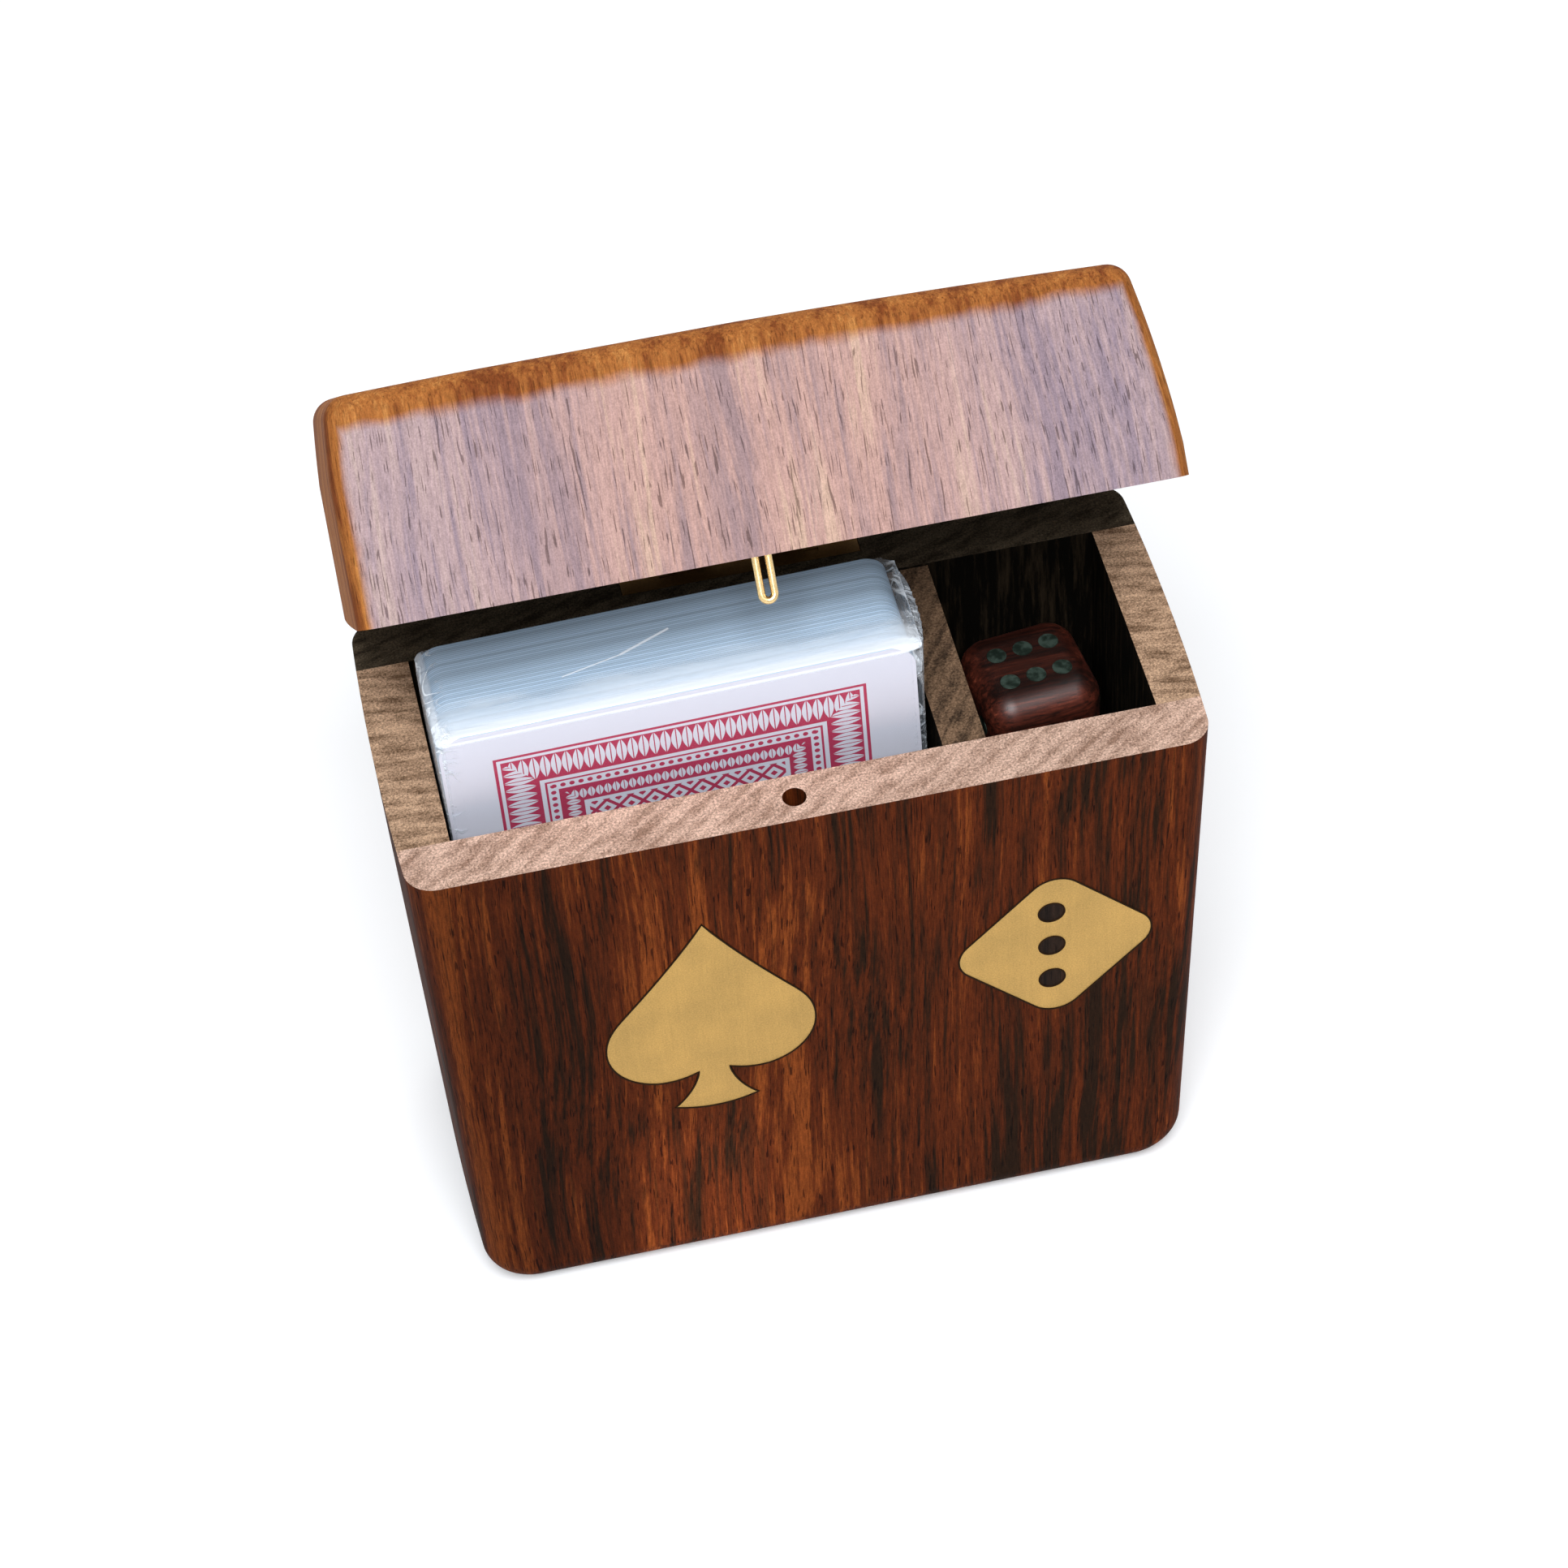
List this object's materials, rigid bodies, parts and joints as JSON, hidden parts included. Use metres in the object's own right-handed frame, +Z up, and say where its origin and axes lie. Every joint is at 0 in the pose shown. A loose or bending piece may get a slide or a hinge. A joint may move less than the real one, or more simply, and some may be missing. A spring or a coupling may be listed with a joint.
{
  "type": "playing card box",
  "caption": "Wooden box with a hinged lid, a slot for a deck of playing cards, a slot for a stack of dice, and brass inlays.",
  "frame": {"origin": "middle of the flat underside of the box", "axes": "+Z up, -Y out of the front face with the inlays, +X to the right seen from the front"},
  "size_m": [0.1084, 0.069, 0.1423],
  "materials": {
    "rosewood": "satin, oiled",
    "brass": "brushed",
    "dark_wood": "satin",
    "card_stock": "smooth coated paper",
    "clear_film": "clear plastic film",
    "red_wood": "polished",
    "grey_metal": "dull"
  },
  "bodies": {
    "box": {"front_board": "rosewood", "back_board": "rosewood", "left_end": "rosewood", "right_end": "rosewood", "floor_board": "rosewood", "divider": "rosewood", "spade_inlay": "brass", "die_inlay": "brass", "die_inlay_pips": "dark_wood", "hinge_leaf_lower": "brass", "hinge_screws_lower": "brass", "hinge_pin": "brass", "playing_cards": "card_stock", "top_card": "card_stock", "film_wrap": "clear_film", "die_1": "red_wood", "die_2": "red_wood", "die_3": "red_wood", "die_4": "red_wood", "die_5": "red_wood", "die_1_pips": "grey_metal", "die_2_pips": "grey_metal", "die_3_pips": "grey_metal", "die_4_pips": "grey_metal", "die_5_pips": "grey_metal"},
    "lid": {"lid_front_board": "rosewood", "lid_back_board": "rosewood", "lid_left_end": "rosewood", "lid_right_end": "rosewood", "lid_top_board": "rosewood", "hinge_leaf_upper": "brass", "hinge_screws_upper": "brass", "catch_loop": "brass"}
  },
  "joints": [
    {"name": "lid_hinge", "type": "hinge", "parent": "box", "child": "lid", "pos_m": [0, 0.0262, 0.08715], "axis": [-1, 0, 0], "range_deg": [-42.9, 135]}
  ]
}
